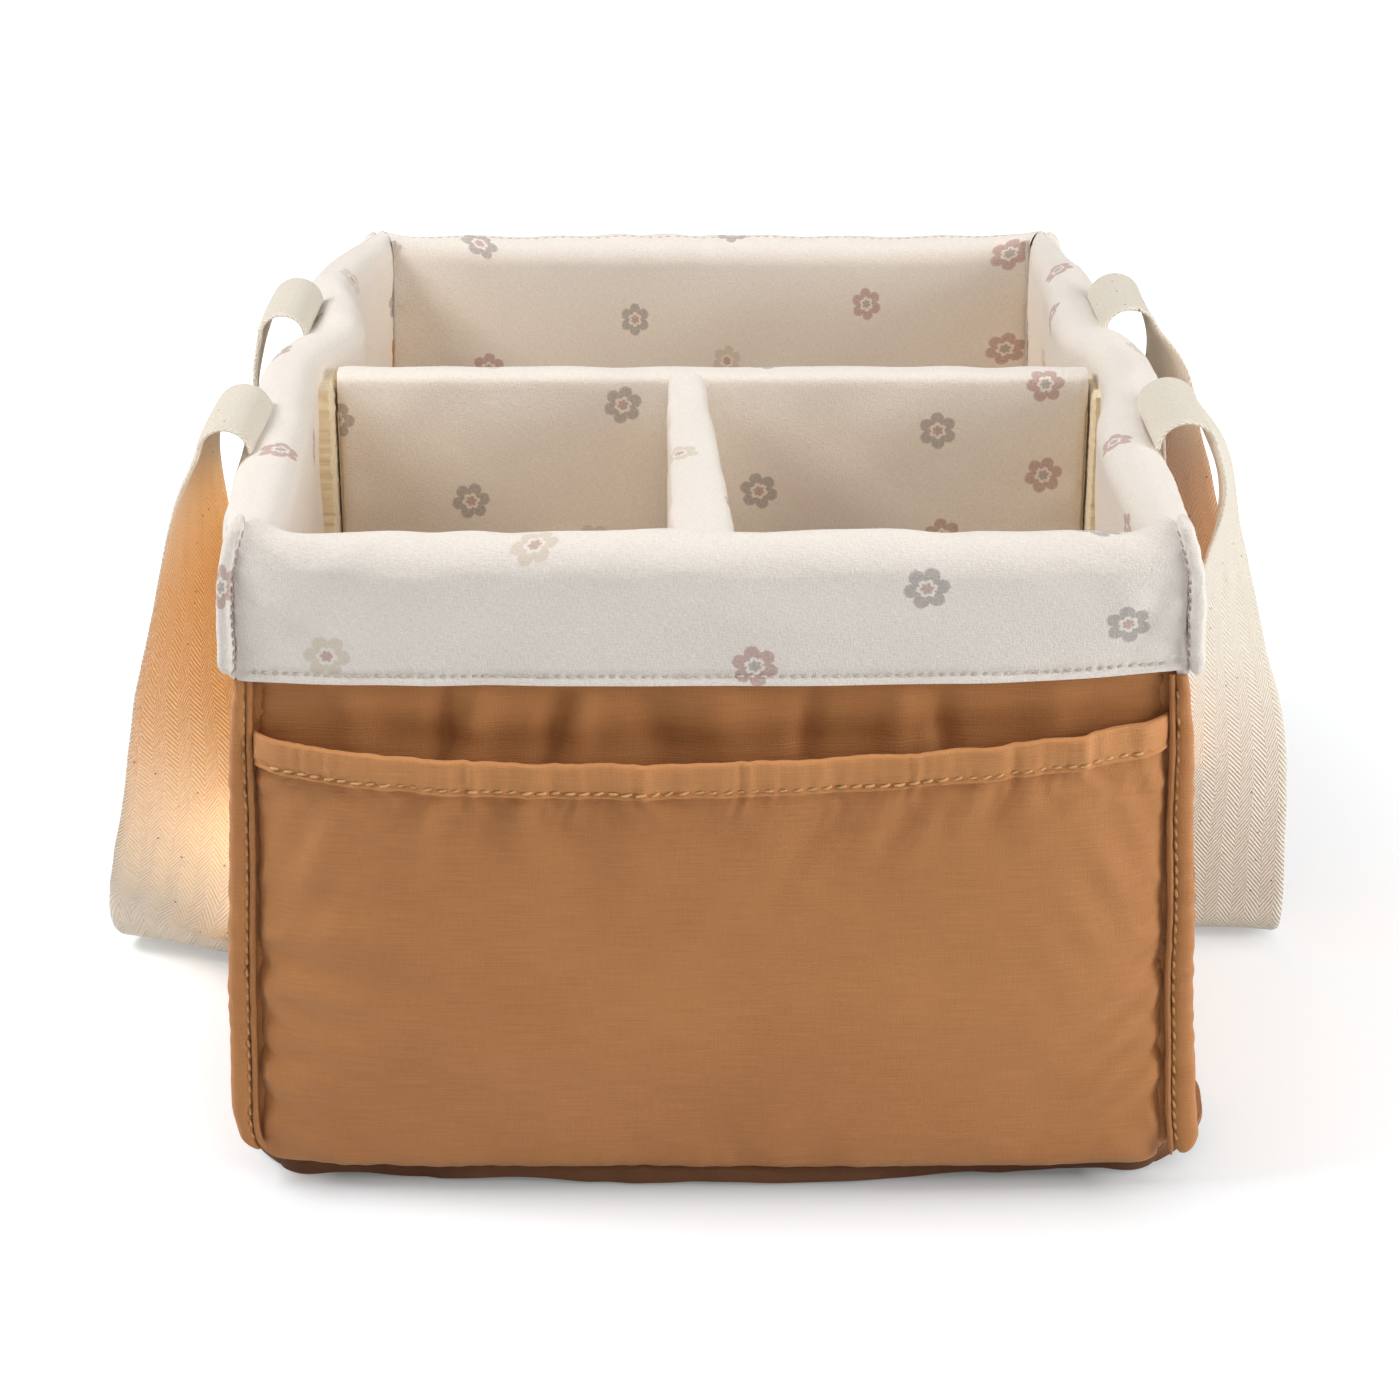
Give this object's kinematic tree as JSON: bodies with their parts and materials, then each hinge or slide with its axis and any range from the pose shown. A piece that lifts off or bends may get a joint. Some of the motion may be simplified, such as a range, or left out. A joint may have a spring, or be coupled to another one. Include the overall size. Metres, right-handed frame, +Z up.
{
  "type": "diaper caddy",
  "caption": "Soft padded caddy with a turned-over lining, a full-width front pocket, a lift-out T-shaped divider and two hanging webbing handles.",
  "frame": {"origin": "centre of the base, on the surface that the caddy stands on", "axes": "+Z up, +Y from the front pocket to the back wall, +X to the right seen from the front"},
  "size_m": [0.3568, 0.3161, 0.1886],
  "materials": {
    "outer_cotton": "satin",
    "outer_cotton_edge": "satin",
    "lining_cotton": "matte",
    "foam": "matte",
    "base_board": "matte",
    "webbing": "matte",
    "fastening_tape": "matte"
  },
  "bodies": {
    "body": {"left_outer_panel": "outer_cotton", "left_foam": "foam", "left_lining": "lining_cotton", "left_cuff": "lining_cotton", "right_outer_panel": "outer_cotton", "right_foam": "foam", "right_lining": "lining_cotton", "right_cuff": "lining_cotton", "front_outer_panel": "outer_cotton", "front_foam": "foam", "front_lining": "lining_cotton", "front_cuff": "lining_cotton", "back_outer_panel": "outer_cotton", "back_foam": "foam", "back_lining": "lining_cotton", "back_cuff": "lining_cotton", "bottom_panel": "outer_cotton_edge", "base_board": "base_board", "floor_lining": "lining_cotton", "front_left_seam": "outer_cotton_edge", "front_left_cuff_seam": "lining_cotton", "front_right_seam": "outer_cotton_edge", "front_right_cuff_seam": "lining_cotton", "back_left_seam": "outer_cotton_edge", "back_left_cuff_seam": "lining_cotton", "back_right_seam": "outer_cotton_edge", "back_right_cuff_seam": "lining_cotton", "pocket_panel": "outer_cotton", "pocket_hem_band": "outer_cotton_edge", "left_loop_tape": "fastening_tape", "right_loop_tape": "fastening_tape", "front_loop_tape": "fastening_tape", "left_front_tab": "webbing", "left_rear_tab": "webbing", "right_front_tab": "webbing", "right_rear_tab": "webbing"},
    "divider_insert": {"cross_divider_cover": "lining_cotton", "cross_divider_core": "foam", "cross_left_hook_tape": "fastening_tape", "cross_right_hook_tape": "fastening_tape"},
    "centre_divider": {"centre_divider_cover": "lining_cotton", "centre_divider_core": "foam", "centre_hook_tape": "fastening_tape", "hinge_strip": "lining_cotton"},
    "left_handle": {"left_handle": "webbing"},
    "right_handle": {"right_handle": "webbing"}
  },
  "joints": [
    {"name": "insert_lift", "type": "slide", "parent": "body", "child": "divider_insert", "axis": [0, 0, 1], "range_m": [0, 0.2]},
    {"name": "centre_divider_swing", "type": "hinge", "parent": "divider_insert", "child": "centre_divider", "pos_m": [-0.002, 0.0039, 0.09], "axis": [0, 0, 1], "range_deg": [-45, 45]},
    {"name": "left_handle_swing", "type": "hinge", "parent": "body", "child": "left_handle", "pos_m": [-0.138, 0, 0.18], "axis": [0, 1, 0], "range_deg": [0, 150]},
    {"name": "right_handle_swing", "type": "hinge", "parent": "body", "child": "right_handle", "pos_m": [0.1355, 0, 0.18], "axis": [0, -1, 0], "range_deg": [0, 150]}
  ]
}
